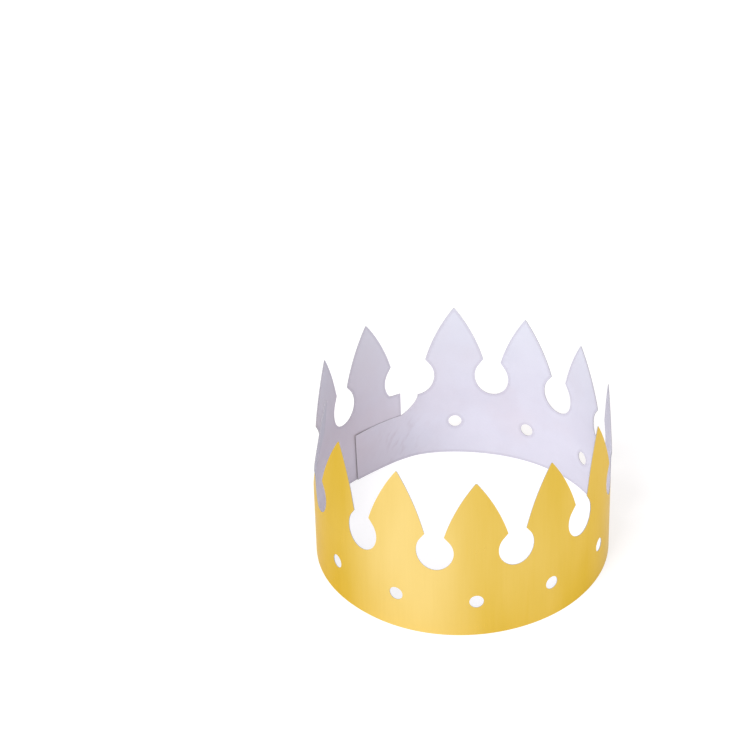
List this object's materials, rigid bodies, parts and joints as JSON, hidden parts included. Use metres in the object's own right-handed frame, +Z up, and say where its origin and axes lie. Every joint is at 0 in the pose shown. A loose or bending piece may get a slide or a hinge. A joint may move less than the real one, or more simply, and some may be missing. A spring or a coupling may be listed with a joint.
{
  "type": "paper crown",
  "caption": "Party crown die-cut from a strip of gold-foiled white card, with spear-shaped points, round notches and small punched holes, rolled into an oval ring and lapped at the back.",
  "frame": {"origin": "middle of the oval ring, on the surface that its bottom edge stands on", "axes": "+Z up towards the points, +Y along the longer way across the oval towards the back, front at -Y"},
  "size_m": [0.1796, 0.1946, 0.1067],
  "materials": {
    "foil_card": "satin gold foil on the outside, uncoated white card on the inside and at the cut edges"
  },
  "bodies": {
    "root": {"crown_band": "foil_card"}
  },
  "joints": []
}
